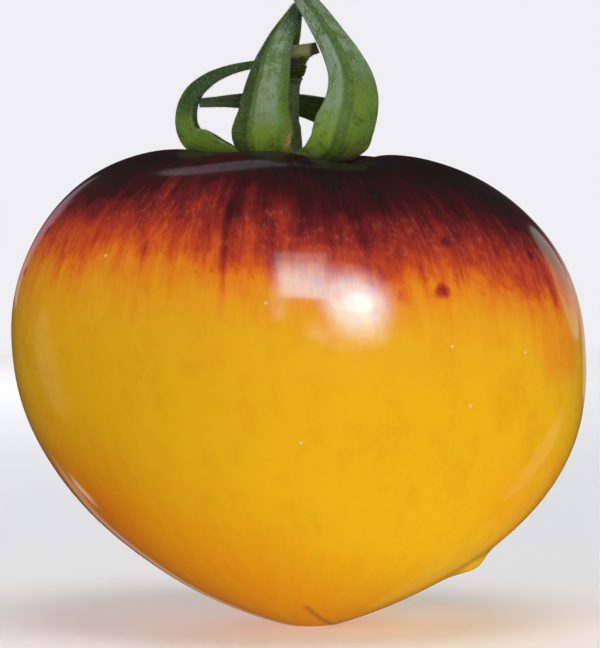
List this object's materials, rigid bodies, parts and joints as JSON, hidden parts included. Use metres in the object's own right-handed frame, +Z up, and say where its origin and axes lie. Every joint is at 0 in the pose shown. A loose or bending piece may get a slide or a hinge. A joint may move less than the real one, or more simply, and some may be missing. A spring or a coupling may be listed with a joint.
{
  "type": "oxheart tomato",
  "caption": "Heart-shaped ripe tomato standing on its blunt blossom end, with curled green sepals and a short picked pedicel.",
  "frame": {"origin": "middle of the small flat foot at the blossom end, on the surface that the tomato rests on", "axes": "+Z up towards the stem, -Y towards the front, +X to the right as seen from the front"},
  "size_m": [0.0801, 0.0768, 0.0894],
  "materials": {
    "skin": "thin waxy tomato skin, golden below, streaked red and purple-black over the shoulders, glossy",
    "sepal": "fresh green leaf with a pale midrib and fine hairs",
    "pedicel": "dark green hairy stalk with an olive knuckle and a dry broken end"
  },
  "bodies": {
    "root": {"fruit": "skin", "calyx": "sepal", "pedicel": "pedicel"}
  },
  "joints": []
}
